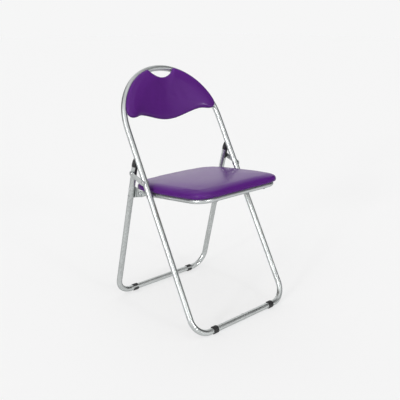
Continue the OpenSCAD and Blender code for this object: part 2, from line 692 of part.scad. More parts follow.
module bracket_rivets_left() { color(paint) side(true) bracket_rivets(); }
module bracket_rivets_right() { color(paint) side(false) bracket_rivets(); }

front_frame_tube();
front_frame_sleeve();
front_foot_left();
front_foot_right();
backrest_board();
backrest_pad();
backrest_screws();
seat_pivot_rivet_left();
seat_pivot_rivet_right();
seat_pivot_spacer_left();
seat_pivot_spacer_right();
link_front_rivet_left();
link_front_rivet_right();
seat_ring_tube();
seat_board();
seat_pad();
seat_screws();
seat_rear_rivet_left();
seat_rear_rivet_right();
rear_frame_tube();
rear_foot_left();
rear_foot_right();
end_cap_left();
end_cap_right();
leg_bracket_left();
leg_bracket_right();
bracket_rivets_left();
bracket_rivets_right();
link_left();
link_right();
link_rear_rivet_left();
link_rear_rivet_right();
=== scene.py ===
"""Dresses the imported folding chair: vinyl cushions, fittings, finishes and a pale studio."""

import json
import math

import bmesh
import bpy
from bpy.props import FloatProperty, FloatVectorProperty, PointerProperty
from mathutils import Matrix, Vector


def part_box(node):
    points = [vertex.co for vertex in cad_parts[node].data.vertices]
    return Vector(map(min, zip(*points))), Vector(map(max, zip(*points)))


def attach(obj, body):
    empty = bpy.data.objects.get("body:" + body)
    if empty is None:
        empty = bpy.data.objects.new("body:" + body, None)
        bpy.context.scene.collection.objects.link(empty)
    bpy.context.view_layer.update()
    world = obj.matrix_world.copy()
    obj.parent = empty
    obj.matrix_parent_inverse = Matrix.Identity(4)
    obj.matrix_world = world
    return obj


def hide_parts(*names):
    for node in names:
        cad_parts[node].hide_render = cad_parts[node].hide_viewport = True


bl_info = {
    "name": "Folding chair dressing",
    "version": (1, 0, 0),
    "blender": (4, 5, 0),
    "location": "3D View > Sidebar > Chair",
    "description": "Builds the cushions, fittings, finishes and studio of a folding chair",
    "category": "Object",
}

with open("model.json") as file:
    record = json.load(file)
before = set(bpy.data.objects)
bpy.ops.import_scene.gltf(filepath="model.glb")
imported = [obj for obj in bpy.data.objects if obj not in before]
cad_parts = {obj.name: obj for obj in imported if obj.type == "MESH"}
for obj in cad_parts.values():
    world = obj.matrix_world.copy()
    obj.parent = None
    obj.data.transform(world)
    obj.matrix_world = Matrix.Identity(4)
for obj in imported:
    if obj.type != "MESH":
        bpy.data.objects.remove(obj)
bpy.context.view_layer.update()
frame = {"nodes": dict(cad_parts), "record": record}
NODES = frame["nodes"]

# The front frame leans back and the seat tilts: angles, and directions along and off each plane
LEAN = math.radians(29.0)
SEAT_TILT = math.radians(5.7)
UP_FRAME = Vector((0, math.sin(LEAN), math.cos(LEAN)))
OFF_FRAME = Vector((0, -math.cos(LEAN), math.sin(LEAN)))
SEAT_UP = Vector((0, math.sin(SEAT_TILT), math.cos(SEAT_TILT)))
SEAT_BACK = Vector((0, math.cos(SEAT_TILT), -math.sin(SEAT_TILT)))

# The line between the seat's pivots, from which places on the seat are measured
SEAT_PIVOT = sum(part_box("seat_pivot_rivet_left"), Vector()) / 2
SEAT_AXIS = Vector((0, SEAT_PIVOT.y, SEAT_PIVOT.z))

# Outer radius of the frame's tube
TUBE_RADIUS = 0.0095


class PadSettings(bpy.types.PropertyGroup):
    """Softness and colour of the two vinyl pads."""

    voxel: FloatProperty(
        name="Remesh size", description="Size of a cell when the backrest's pad is remeshed",
        default=0.0033, subtype="DISTANCE", unit="LENGTH",
    )
    pressure: FloatProperty(
        name="Foam pressure", description="How hard the foam pushes the cover out",
        default=4.0,
    )
    seat_crown: FloatProperty(
        name="Seat crown", description="Rise of the seat's top over its rim before the foam swells",
        default=0.0065, subtype="DISTANCE", unit="LENGTH",
    )
    seat_swell: FloatProperty(
        name="Seat swell", description="How far the seat's cover may move out",
        default=0.003, subtype="DISTANCE", unit="LENGTH",
    )
    back_swell: FloatProperty(
        name="Backrest swell", description="How far the backrest's cover may move out",
        default=0.0025, subtype="DISTANCE", unit="LENGTH",
    )
    hem: FloatProperty(
        name="Hem", description="How far the seat's cover is folded under its board",
        default=0.022, subtype="DISTANCE", unit="LENGTH",
    )
    staple_gap: FloatProperty(
        name="Staple spacing", description="Distance from one staple of the seat to the next",
        default=0.042, subtype="DISTANCE", unit="LENGTH",
    )
    vinyl: FloatVectorProperty(
        name="Vinyl colour", description="Colour of the cover",
        default=(0.091, 0.012, 0.187), subtype="COLOR", size=3,
    )


class MetalSettings(bpy.types.PropertyGroup):
    """Colours of the metal and the black parts, and sizes of the small fittings."""

    paint: FloatVectorProperty(
        name="Silver paint", description="Colour of the painted tubes",
        default=(0.59, 0.615, 0.61), subtype="COLOR", size=3,
    )
    steel: FloatVectorProperty(
        name="Bare steel", description="Colour of rivets and screws",
        default=(0.52, 0.53, 0.54), subtype="COLOR", size=3,
    )
    black: FloatVectorProperty(
        name="Black rubber", description="Colour of feet and caps",
        default=(0.012, 0.012, 0.013), subtype="COLOR", size=3,
    )
    foot_span: FloatProperty(
        name="Foot width",
        description="Width of a foot's rubber along the bar, as a share of its clip",
        default=0.74, subtype="FACTOR", min=0.5, max=1.0,
    )
    weld: FloatProperty(
        name="Weld bead", description="Radius of the bead where the front bar is joined",
        default=0.0009, subtype="DISTANCE", unit="LENGTH",
    )


class StageSettings(bpy.types.PropertyGroup):
    """Camera and studio."""

    lens: FloatProperty(
        name="Lens", description="Focal length in millimetres",
        default=53.0,
    )
    azimuth: FloatProperty(
        name="Camera azimuth", description="Turn of the camera round the chair",
        default=math.radians(-42.09), subtype="ANGLE",
    )
    elevation: FloatProperty(
        name="Camera elevation", description="Height angle of the camera",
        default=math.radians(17.01), subtype="ANGLE",
    )
    distance: FloatProperty(
        name="Camera distance", description="From the camera to its target",
        default=1.9889, subtype="DISTANCE", unit="LENGTH",
    )
    target_y: FloatProperty(
        name="Target depth", description="Place behind the chair's middle that the camera looks at",
        default=-0.00226, subtype="DISTANCE", unit="LENGTH",
    )
    target_z: FloatProperty(
        name="Target height", description="Height that the camera looks at",
        default=0.36526, subtype="DISTANCE", unit="LENGTH",
    )
    paper: FloatProperty(
        name="Background", description="Level of the pale background",
        default=0.9216,
    )
    room: FloatProperty(
        name="Room light", description="Level of the room between the soft lights",
        default=0.56,
    )
    floor: FloatProperty(
        name="Floor", description="Lightness of the floor for the light that it gives back",
        default=0.34,
    )
    lift: FloatProperty(
        name="Floor lift",
        description="Added for camera and reflections, so that the floor meets the background",
        default=0.582,
    )


# Shared helpers

def only(obj):
    """Selects one object and makes it active, in object mode."""
    if bpy.context.object and bpy.context.object.mode != "OBJECT":
        bpy.ops.object.mode_set(mode="OBJECT")
    bpy.ops.object.select_all(action="DESELECT")
    obj.select_set(True)
    bpy.context.view_layer.objects.active = obj
    return obj


def edit_all(obj):
    """Opens an object in edit mode with all of it selected."""
    only(obj)
    bpy.ops.object.mode_set(mode="EDIT")
    bpy.ops.mesh.select_all(action="SELECT")


def copy_of(node, name):
    """A welded copy of a CAD node's mesh as a new object."""
    mesh = NODES[node].data.copy()
    mesh.name = name
    obj = bpy.data.objects.new(name, mesh)
    bpy.context.scene.collection.objects.link(obj)
    edit_all(obj)
    bpy.ops.mesh.remove_doubles(threshold=0.00002)
    bpy.ops.mesh.normals_make_consistent(inside=False)
    bpy.ops.object.mode_set(mode="OBJECT")
    return obj


def mesh_piece(name, points, faces):
    """A new object from points and faces."""
    mesh = bpy.data.meshes.new(name)
    mesh.from_pydata(points, [], faces)
    mesh.update()
    obj = bpy.data.objects.new(name, mesh)
    bpy.context.scene.collection.objects.link(obj)
    return obj


def finish_piece(obj, body, slot, node=None):
    """Gives a piece its slot, finish and body, and hides the node that it stands for."""
    obj.data.materials.clear()
    obj.data.materials.append(finishes()[slot])
    if node:
        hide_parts(node)
    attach(obj, body)


def apply_modifiers(obj):
    """Applies an object's modifiers in order."""
    only(obj)
    for modifier in list(obj.modifiers):
        bpy.ops.object.modifier_apply(modifier=modifier.name)


def smooth(obj, degrees):
    """Shades an object smooth up to the given angle between faces."""
    only(obj)
    bpy.ops.object.shade_smooth_by_angle(angle=math.radians(degrees))


def joined(objects, name):
    """Joins objects into one with the given name."""
    only(objects[0])
    for obj in objects:
        obj.select_set(True)
    bpy.ops.object.join()
    piece = bpy.context.object
    piece.name = name
    piece.data.name = name
    return piece


# Shader nodes

def set_inputs(node, values):
    """Sets a node's own sockets by name."""
    for label, value in values.items():
        node.inputs[label].default_value = value


def new_group(name, inputs, output):
    """An empty node group with named inputs and one named output number."""
    group = bpy.data.node_groups.new(name, "ShaderNodeTree")
    for label, kind, default in inputs:
        socket = group.interface.new_socket(name=label, in_out="INPUT", socket_type=kind)
        socket.default_value = default
    group.interface.new_socket(name=output, in_out="OUTPUT", socket_type="NodeSocketFloat")
    tree = group.nodes
    return group, tree, group.links, tree.new("NodeGroupInput"), tree.new("NodeGroupOutput")


def noise(tree, links, vector, scale, detail, roughness):
    """Noise of the given size, which may be a number or a socket."""
    node = tree.new("ShaderNodeTexNoise")
    set_inputs(node, {"Detail": detail, "Roughness": roughness})
    links.new(vector, node.inputs["Vector"])
    if isinstance(scale, (int, float)):
        node.inputs["Scale"].default_value = scale
    else:
        links.new(scale, node.inputs["Scale"])
    return node.outputs["Fac"]


def maths(tree, links, operation, a, b, clamp=False):
    """A sum, product or the like of two numbers or sockets."""
    node = tree.new("ShaderNodeMath")
    node.operation = operation
    node.use_clamp = clamp
    for socket, value in zip(node.inputs, (a, b)):
        if isinstance(value, (int, float)):
            socket.default_value = value
        else:
            links.new(value, socket)
    return node.outputs[0]


def remap(tree, links, value, low, high, to_low, to_high):
    """A value stretched from one range to another."""
    node = tree.new("ShaderNodeMapRange")
    links.new(value, node.inputs["Value"])
    set_inputs(node, {"From Min": low, "From Max": high, "To Min": to_low, "To Max": to_high})
    return node.outputs["Result"]


def mix_colour(tree, links, factor, a, b):
    """A mix of two colours, each written out or a socket."""
    node = tree.new("ShaderNodeMix")
    node.data_type = "RGBA"
    for socket, value in ((node.inputs[0], factor), (node.inputs[6], a), (node.inputs[7], b)):
        if isinstance(value, (tuple, list)):
            socket.default_value = tuple(value)[:3] + (1.0,)
        else:
            links.new(value, socket)
    return node.outputs[2]


def shade(colour, factor):
    """A colour made darker or paler by a factor."""
    return [min(1.0, channel * factor) for channel in colour]


def edge_wear_group():
    """Mask that is bright on worn convex edges, broken up by noise."""
    group, tree, links, source, sink = new_group(
        "Edge wear",
        [("Vector", "NodeSocketVector", (0, 0, 0)), ("Amount", "NodeSocketFloat", 0.5)],
        "Mask",
    )
    geometry = tree.new("ShaderNodeNewGeometry")
    edge = remap(tree, links, geometry.outputs["Pointiness"], 0.52, 0.62, 0.0, 1.0)
    patches = noise(tree, links, source.outputs["Vector"], 160.0, 4.0, 0.6)
    broken = remap(tree, links, patches, 0.42, 0.62, 0.0, 1.0)
    both = maths(tree, links, "MULTIPLY", edge, broken)
    mask = maths(tree, links, "MULTIPLY", both, source.outputs["Amount"], clamp=True)
    links.new(mask, sink.inputs["Mask"])
    return group


def mottle_group():
    """Soft mottling of colour and gloss at two sizes."""
    group, tree, links, source, sink = new_group(
        "Mottle",
        [
            ("Vector", "NodeSocketVector", (0, 0, 0)),
            ("Broad", "NodeSocketFloat", 12.0),
            ("Fine", "NodeSocketFloat", 220.0),
        ],
        "Value",
    )
    vector = source.outputs["Vector"]
    broad = noise(tree, links, vector, source.outputs["Broad"], 3.0, 0.55)
    fine = noise(tree, links, vector, source.outputs["Fine"], 2.0, 0.5)
    broad_part = maths(tree, links, "MULTIPLY", broad, 0.7)
    fine_part = maths(tree, links, "MULTIPLY", fine, 0.3)
    links.new(maths(tree, links, "ADD", broad_part, fine_part), sink.inputs["Value"])
    return group


def grain_group():
    """Height of a fine pebbled vinyl grain with a few soft creases."""
    group, tree, links, source, sink = new_group(
        "Vinyl grain",
        [
            ("Vector", "NodeSocketVector", (0, 0, 0)),
            ("Grain size", "NodeSocketFloat", 900.0),
            ("Crease", "NodeSocketFloat", 0.35),
        ],
        "Height",
    )
    vector = source.outputs["Vector"]
    warp = tree.new("ShaderNodeTexNoise")
    warp.inputs["Scale"].default_value = 300.0
    links.new(vector, warp.inputs["Vector"])
    bend = tree.new("ShaderNodeVectorMath")
    bend.operation = "SCALE"
    bend.inputs["Scale"].default_value = 0.0012
    links.new(warp.outputs["Color"], bend.inputs[0])
    moved = tree.new("ShaderNodeVectorMath")
    moved.operation = "ADD"
    links.new(vector, moved.inputs[0])
    links.new(bend.outputs[0], moved.inputs[1])
    cells = tree.new("ShaderNodeTexVoronoi")
    cells.feature = "DISTANCE_TO_EDGE"
    links.new(source.outputs["Grain size"], cells.inputs["Scale"])
    links.new(moved.outputs[0], cells.inputs["Vector"])
    pebble = remap(tree, links, cells.outputs["Distance"], 0.0, 0.25, 0.0, 1.0)
    crease = noise(tree, links, vector, 28.0, 5.0, 0.62)
    soft = maths(tree, links, "MULTIPLY", crease, source.outputs["Crease"])
    height = maths(tree, links, "ADD", maths(tree, links, "MULTIPLY", pebble, 0.5), soft)
    links.new(height, sink.inputs["Height"])
    return group


GROUPS = {}


def group_of(label):
    """The shared group of that name, built when first asked for."""
    makers = {"Edge wear": edge_wear_group, "Mottle": mottle_group, "Vinyl grain": grain_group}
    if label not in GROUPS:
        GROUPS[label] = makers[label]()
    return GROUPS[label]


def place_group(tree, links, label, vector, values):
    """Places a shared group in a material with its own values, and gives its output."""
    node = tree.new("ShaderNodeGroup")
    node.node_tree = group_of(label)
    links.new(vector, node.inputs["Vector"])
    set_inputs(node, values)
    return node.outputs[0]


# Finishes

def start_material(name):
    """A new material with its nodes, links, shader and the piece's own coordinates."""
    material = bpy.data.materials.new(name)
    material.use_nodes = True
    tree = material.node_tree.nodes
    links = material.node_tree.links
    place = tree.new("ShaderNodeTexCoord").outputs["Object"]
    return material, tree, links, tree["Principled BSDF"], place


def by_mottle(tree, links, mottle, low, high):
    """A number that follows the mottling from low to high."""
    return remap(tree, links, mottle, 0.3, 0.7, low, high)


def bump(tree, links, height, shader, strength, distance):
    """Bends the shader's normal by a height."""
    node = tree.new("ShaderNodeBump")
    set_inputs(node, {"Strength": strength, "Distance": distance})
    links.new(height, node.inputs["Height"])
    links.new(node.outputs["Normal"], shader.inputs["Normal"])


def silver_paint(name, colour):
    """Satin silver paint with fine flake, gentle mottling and rubbed edges."""
    material, tree, links, shader, place = start_material(name)
    mottle = place_group(tree, links, "Mottle", place, {"Broad": 14.0, "Fine": 900.0})
    wear = place_group(tree, links, "Edge wear", place, {"Amount": 0.5})
    spread = by_mottle(tree, links, mottle, 0.0, 1.0)
    tint = mix_colour(tree, links, spread, shade(colour, 0.86), shade(colour, 1.1))
    worn = mix_colour(tree, links, wear, tint, shade(colour, 0.6))
    links.new(worn, shader.inputs["Base Color"])
    links.new(by_mottle(tree, links, mottle, 0.25, 0.37), shader.inputs["Roughness"])
    set_inputs(shader, {
        "Metallic": 0.9,
        "Specular Tint": (0.25, 0.27, 0.27, 1.0),
        "Coat Weight": 0.15,
        "Coat Roughness": 0.12,
    })
    flake = noise(tree, links, place, 2600.0, 1.0, 0.5)
    bump(tree, links, flake, shader, 0.015, 0.0004)
    return material


def plain_steel(name, colour, rough):
    """Plated or drawn steel with fine scratches and darker handling marks."""
    material, tree, links, shader, place = start_material(name)
    mottle = place_group(tree, links, "Mottle", place, {"Broad": 60.0, "Fine": 1400.0})
    wear = place_group(tree, links, "Edge wear", place, {"Amount": 0.7})
    marks = remap(tree, links, mottle, 0.35, 0.7, 0.0, 1.0)
    tint = mix_colour(tree, links, marks, shade(colour, 0.7), colour)
    worn = mix_colour(tree, links, wear, tint, shade(colour, 1.3))
    links.new(worn, shader.inputs["Base Color"])
    gloss = by_mottle(tree, links, mottle, rough - 0.06, rough + 0.12)
    links.new(gloss, shader.inputs["Roughness"])
    shader.inputs["Metallic"].default_value = 1.0
    bump(tree, links, mottle, shader, 0.08, 0.0004)
    return material


def black_rubber(name, colour, rough):
    """Black moulded rubber or plastic, slightly paler where it is rubbed."""
    material, tree, links, shader, place = start_material(name)
    mottle = place_group(tree, links, "Mottle", place, {"Broad": 40.0, "Fine": 1600.0})
    wear = place_group(tree, links, "Edge wear", place, {"Amount": 0.6})
    tint = mix_colour(tree, links, mottle, shade(colour, 0.7), shade(colour, 1.6))
    worn = mix_colour(tree, links, wear, tint, (0.05, 0.05, 0.052))
    links.new(worn, shader.inputs["Base Color"])
    links.new(by_mottle(tree, links, mottle, rough - 0.08, rough + 0.1), shader.inputs["Roughness"])
    bump(tree, links, noise(tree, links, place, 1500.0, 2.0, 0.6), shader, 0.12, 0.0003)
    return material


def purple_vinyl(name, colour):
    """Satin purple vinyl with a fine pebbled grain under a thin gloss, and painted shade in the
    grain's grooves and creases.
    """
    material, tree, links, shader, place = start_material(name)
    mottle = place_group(tree, links, "Mottle", place, {"Broad": 6.0, "Fine": 300.0})
    height = place_group(tree, links, "Vinyl grain", place, {"Grain size": 950.0, "Crease": 0.5})
    spread = by_mottle(tree, links, mottle, 0.0, 1.0)
    tint = mix_colour(tree, links, spread, shade(colour, 0.88), shade(colour, 1.12))
    # Painted shade: the low places of the grain and its creases are darkened in the colour, down to
    # 0.6 of it
    depth = remap(tree, links, height, 0.1, 0.5, 0.3, 0.0)
    groove_shade = mix_colour(tree, links, depth, tint, shade(colour, 0.6))
    links.new(groove_shade, shader.inputs["Base Color"])
    links.new(by_mottle(tree, links, mottle, 0.36, 0.46), shader.inputs["Roughness"])
    set_inputs(shader, {"Specular IOR Level": 0.12, "Coat Weight": 0.18, "Coat Roughness": 0.13})
    bump(tree, links, height, shader, 0.13, 0.0003)
    return material


def pressed_board(name):
    """Raw fibre board: pale brown chips under a matte face."""
    material, tree, links, shader, place = start_material(name)
    chips = tree.new("ShaderNodeTexVoronoi")
    chips.inputs["Scale"].default_value = 420.0
    links.new(place, chips.inputs["Vector"])
    mottle = place_group(tree, links, "Mottle", place, {"Broad": 18.0, "Fine": 700.0})
    base = mix_colour(tree, links, mottle, (0.2, 0.12, 0.06), (0.42, 0.29, 0.17))
    speck = remap(tree, links, chips.outputs["Distance"], 0.2, 0.7, 0.0, 0.45)
    board = mix_colour(tree, links, speck, base, (0.5, 0.38, 0.24))
    links.new(board, shader.inputs["Base Color"])
    links.new(by_mottle(tree, links, mottle, 0.75, 0.9), shader.inputs["Roughness"])
    bump(tree, links, mottle, shader, 0.3, 0.0006)
    return material


MATERIALS = {}


def finishes():
    """All the finishes by slot, made once from the panel's colours."""
    if not MATERIALS:
        metal = bpy.context.scene.chair_metal
        steel, black = list(metal.steel), list(metal.black)
        MATERIALS.update(
            frame_paint=silver_paint("Silver paint", list(metal.paint)),
            bare_steel=plain_steel("Drawn steel", steel, 0.32),
            rivet_steel=plain_steel("Rivet steel", shade(steel, 1.1), 0.28),
            screw_steel=plain_steel("Screw steel", shade(steel, 0.85), 0.36),
            foot_rubber=black_rubber("Foot rubber", black, 0.6),
            cap_plastic=black_rubber("Cap plastic", black, 0.42),
            board_wood=pressed_board("Pressed board"),
            pad_vinyl=purple_vinyl("Purple vinyl", list(bpy.context.scene.chair_pads.vinyl)),
        )
    return MATERIALS


# Lines and rings of points

def hull_of(points):
    """The convex outline of flat points, turning left."""
    points = sorted(set((round(x, 6), round(y, 6)) for x, y in points))

    def half(run):
        chain = []
        for point in run:
            while len(chain) > 1:
                (ax, ay), (bx, by) = chain[-2], chain[-1]
                if (bx - ax) * (point[1] - ay) - (by - ay) * (point[0] - ax) > 0:
                    break
                chain.pop()
            chain.append(point)
        return chain[:-1]

    return half(points) + half(points[::-1])


def steps_of(points):
    """Each point of a closed line with the next."""
    return list(zip(points, points[1:] + points[:1]))


def even_loop(points, count):
    """Points at equal steps along a closed line."""
    steps = steps_of(list(points))
    sizes = [math.dist(a, b) for a, b in steps]
    total, spots, i, passed = sum(sizes), [], 0, 0.0
    for k in range(count):
        want = total * k / count
        while passed + sizes[i] < want:
            passed += sizes[i]
            i += 1
        t = (want - passed) / sizes[i]
        spots.append(tuple(a + (b - a) * t for a, b in zip(*steps[i])))
    return spots


def outward(loop, reach=8):
    """For each point of a left-turning loop: the way outward, and how straight the line is."""
    count = len(loop)
    ways = []
    for k in range(count):
        (ax, ay), (bx, by) = loop[k - 2], loop[(k + 2) % count]
        size = math.hypot(bx - ax, by - ay)
        ways.append(((by - ay) / size, (ax - bx) / size))
    bends = [math.dist(ways[k - 2], ways[(k + 2) % count]) for k in range(count)]
    around = range(-reach, reach + 1)
    wide = [sum(bends[(k + j) % count] for j in around) / len(around) for k in range(count)]
    top = max(wide)
    return [(nx, ny, 1 - min(1.0, bend / top * 1.3)) for (nx, ny), bend in zip(ways, wide)]


def ring_faces(count, total, closed=False):
    """Faces from each ring of points to the next, and from the last to the first if closed."""
    faces = []
    for ring in range(total if closed else total - 1):
        low, high = ring * count, (ring + 1) % total * count
        for k in range(count):
            after = (k + 1) % count
            faces.append((low + k, low + after, high + after, high + k))
    return faces


def longest_loop(edges):
    """The points of the longest closed run among some edges, in order."""
    links = {}
    for edge in edges:
        a, b = edge.verts
        links.setdefault(a, []).append(b)
        links.setdefault(b, []).append(a)
    best, longest, seen = [], 0.0, set()
    for start in links:
        if start in seen:
            continue
        run, before, here = [start], None, start
        while True:
            seen.add(here)
            before, here = here, [v for v in links[here] if v is not before][0]
            if here in seen:
                break
            run.append(here)
        length = sum((a.co - b.co).length for a, b in steps_of(run))
        if length > longest:
            best, longest = run, length
    return best


# Foam and cloth

def evened(moves, near, rounds=10, still=1e-7):
    """Averages each move with its neighbours' and leaves the points that stay still."""
    for _ in range(rounds):
        moves = [
            move if move.length < still
            else (move + sum((moves[j] for j in around), Vector())) / (len(around) + 1)
            for move, around in zip(moves, near)
        ]
    return moves


def inflate(obj, pinned, swell, pressure, frames=12):
    """Lets foam pressure push the free part of a cover out, ever less towards the given swell."""
    only(obj)
    vertices = obj.data.vertices
    rest = [v.co.copy() for v in vertices]
    pins = obj.vertex_groups.new(name="pins")
    pins.add([v.index for v in vertices if pinned(v)], 1.0, "REPLACE")
    cloth = obj.modifiers.new("Foam", "CLOTH")
    cloth.settings.quality = 4
    cloth.settings.mass = 0.3
    cloth.settings.tension_stiffness = 25
    cloth.settings.compression_stiffness = 25
    cloth.settings.shear_stiffness = 10
    cloth.settings.bending_stiffness = 1.5
    cloth.settings.use_pressure = True
    cloth.settings.uniform_pressure_force = pressure
    cloth.settings.vertex_group_mass = "pins"
    cloth.settings.effector_weights.gravity = 0
    cloth.collision_settings.use_collision = False
    cloth.point_cache.frame_start = 1
    cloth.point_cache.frame_end = frames
    scene = bpy.context.scene
    for step in range(1, frames + 1):
        scene.frame_set(step)
    only(obj)
    bpy.ops.object.modifier_apply(modifier=cloth.name)
    vertices = obj.data.vertices
    moves = []
    for vertex, before in zip(vertices, rest):
        move = vertex.co - before
        size = max(move.length, 1e-6)
        moves.append(move * (swell * (1 - math.exp(-size / swell)) / size))
    near = [[] for _ in rest]
    for a, b in (edge.vertices for edge in obj.data.edges):
        near[a].append(b)
        near[b].append(a)
    for vertex, before, move in zip(vertices, rest, evened(moves, near)):
        vertex.co = before + move
    obj.vertex_groups.clear()
    scene.frame_set(1)


def soften(obj):
    """Evens out a cover and adds one subdivision."""
    even = obj.modifiers.new("Even", "SMOOTH")
    even.factor = 0.5
    even.iterations = 1
    finer = obj.modifiers.new("Finer", "SUBSURF")
    finer.levels = 1
    finer.render_levels = 1
    apply_modifiers(obj)
    only(obj)
    bpy.ops.object.shade_smooth()


# Staples

# A staple's wire radius, the length of its crown, and each end's steps down as drop and reach
STAPLE_WIRE = 0.00055
STAPLE_CROWN = 0.0094
STAPLE_SHOULDER = ((0.0003, 0.0004), (0.0008, 0.0002), (0.0009, 0.0))


def staple_wire():
    """One staple's crown with its shoulders bent down, at the origin."""
    bpy.ops.object.select_all(action="DESELECT")
    bpy.ops.mesh.primitive_cylinder_add(
        vertices=8, radius=STAPLE_WIRE, depth=STAPLE_CROWN, rotation=(0, math.pi / 2, 0),
    )
    wire = only(bpy.context.object)
    bpy.ops.object.transform_apply(location=True, rotation=True, scale=True)
    for drop, reach in STAPLE_SHOULDER:
        for side in (-1, 1):
            bpy.ops.object.mode_set(mode="EDIT")
            bpy.ops.mesh.select_all(action="DESELECT")
            bpy.ops.mesh.select_mode(type="FACE")
            data = bmesh.from_edit_mesh(wire.data)
            ends = [face for face in data.faces if len(face.verts) == 8]
            max(ends, key=lambda face: side * face.calc_center_median().x).select_set(True)
            bmesh.update_edit_mesh(wire.data)
            step = (side * reach, 0, -drop)
            bpy.ops.mesh.extrude_region_move(TRANSFORM_OT_translate={"value": step})
            bpy.ops.object.mode_set(mode="OBJECT")
    smooth(wire, 50)
    return wire


def staples_along(name, body, spots):
    """Copies a staple to each spot, given as a place, a direction along the hem and one off it."""
    wire = staple_wire()
    copies = []
    for place, along, off in spots:
        copy = bpy.data.objects.new(name, wire.data.copy())
        bpy.context.scene.collection.objects.link(copy)
        across = off.cross(along).normalized()
        turn = Matrix((along.normalized(), across, off.normalized())).transposed().to_4x4()
        copy.data.transform(Matrix.Translation(place) @ turn)
        copies.append(copy)
    bpy.data.objects.remove(wire)
    finish_piece(joined(copies, name), body, "screw_steel")


# The seat's cushion

SEAT_POINTS = 192  # points round the outline
SEAT_TOP_RINGS = 16  # rings on the top, inside the rounded edge
SEAT_SIDE = 0.0145  # height of the rim's straight side over the pivots
SEAT_RISE = 0.0172  # height of the rounded edge over that
SEAT_ROUND = 0.027  # width of the rounded edge
SEAT_PULL = 0.0016  # how far the sides draw in between the corners
SEAT_PINNED = 0.0112  # below this height the cover is held by the board
SEAT_STAPLES = 0.0069  # height of the staples


def on_seat(across, back, up):
    """A point given in the seat's own directions, from the line between its pivots."""
    return SEAT_AXIS + Vector((across, 0, 0)) + SEAT_BACK * back + SEAT_UP * up


def seat_place(co):
    """A point's place in the seat's own directions."""
    away = co - SEAT_AXIS
    return Vector((co.x, away.dot(SEAT_BACK), away.dot(SEAT_UP)))


def seat_rings(hem):
    """The cover's rings, from the board's recess to the rounded edge: inset, height and pull."""
    low = 0.0081
    rings = [
        (0.0062, 0.0161, 0), (0.0062, low, 0), (0.0062 + hem, low, 0),
        (0.0064 + hem, low - 0.0005, 0), (0.006 + hem, low - 0.0009, 0),
        (0.014, low - 0.0009, 0), (0.006, low - 0.0008, 0), (0.003, low - 0.0004, 0),
        (0.0014, low + 0.001, 0), (0.0005, SEAT_PINNED, 0.1), (0.0002, 0.0135, 0.3),
    ]
    for k in range(1, 11):
        t = k / 10
        inset = SEAT_ROUND * (1 - math.cos(t * math.pi / 2)) ** 1.1
        up = SEAT_SIDE + SEAT_RISE * math.sin(t * math.pi / 2) ** 0.95
        rings.append((0.0002 + inset, up, 0.4 + 0.6 * math.sin(t * math.pi)))
    return rings


class CHAIR_OT_seat_cushion(bpy.types.Operator):
    """Builds the seat's vinyl cushion, its cover folded and stapled under the board"""

    bl_idname = "chair.seat_cushion"
    bl_label = "Seat cushion"

    def execute(self, context):
        pads = context.scene.chair_pads
        flat = [seat_place(v.co) for v in NODES["seat_pad"].data.vertices]
        loop = even_loop(hull_of([(p.x, p.y) for p in flat]), SEAT_POINTS)
        ways = outward(loop)
        cushion = mesh_piece("seat_cushion", *self.cover(pads, loop, ways))

        def pinned(vertex):
            return seat_place(vertex.co).z < SEAT_PINNED or vertex.normal.dot(SEAT_UP) < -0.2

        inflate(cushion, pinned, pads.seat_swell, pads.pressure)
        soften(cushion)
        finish_piece(cushion, "seat", "pad_vinyl", "seat_pad")
        self.staple(pads, loop, ways)
        return {"FINISHED"}

    def cover(self, pads, loop, ways):
        """Points and faces of the closed cover."""
        rings = seat_rings(pads.hem)
        depths = [y for x, y in loop]
        middle = (min(depths) + max(depths)) / 2
        points = []

        def crown(share):
            return pads.seat_crown * (1 - share ** 2.2) ** 1.05

        for inset, up, pull in rings:
            rise = crown(1 - 0.1 * inset / SEAT_ROUND) if up > SEAT_SIDE else 0.0
            for (x, y), (nx, ny, straight) in zip(loop, ways):
                step = inset + SEAT_PULL * straight * pull
                points.append(on_seat(x - nx * step, y - ny * step, up + rise))
        edge = []
        for (x, y), (nx, ny, straight) in zip(loop, ways):
            step = SEAT_ROUND + 0.00084 * straight
            edge.append((x - nx * step, y - ny * step))
        for k in range(1, SEAT_TOP_RINGS + 1):
            share = 1 - k / (SEAT_TOP_RINGS + 1)
            up = SEAT_SIDE + SEAT_RISE + crown(share * 0.9)
            points += [on_seat(x * share, middle + (y - middle) * share, up) for x, y in edge]

        total = len(rings) + SEAT_TOP_RINGS
        faces = ring_faces(SEAT_POINTS, total)
        last = (total - 1) * SEAT_POINTS
        for k in range(SEAT_POINTS // 2 - 1):
            far = SEAT_POINTS - 1 - k
            faces.append((last + k, last + k + 1, last + far - 1, last + far))
            faces.append((far, far - 1, k + 1, k))
        return points, faces

    def staple(self, pads, loop, ways):
        """Staples the fold to the underside of the board."""
        inset = 0.006 + pads.hem * 0.72
        line = [(x - nx * inset, y - ny * inset) for (x, y), (nx, ny, _) in zip(loop, ways)]
        number = round(sum(math.dist(a, b) for a, b in steps_of(line)) / pads.staple_gap)
        line = even_loop(line, number)
        spots = []
        for k, (x, y) in enumerate(line):
            (ax, ay), (bx, by) = line[k - 1], line[(k + 1) % number]
            along = Vector((bx - ax, 0, 0)) + SEAT_BACK * (by - ay)
            spots.append((on_seat(x, y, SEAT_STAPLES), along, -SEAT_UP))
        staples_along("seat_staples", "seat", spots)


# The backrest's cushion

LOBE_FROM, LOBE_WIDE = 0.125, 0.04  # a lobe's start, out from the middle, and its reach from there
LOBE_TOP, LOBE_TALL = 0.668, 0.035  # a lobe's start, up the frame, and its reach down from there
LOBE_DROP = 0.0034  # how far the cover hangs below the board there

HEM_POINTS = 260  # points round the backrest's hem
HEM_STAPLES = 9  # points from one staple to the next
HEM_STAPLE_INSET, HEM_STAPLE_OFF = 0.0075, 0.0016  # a staple's place in from the edge and behind it
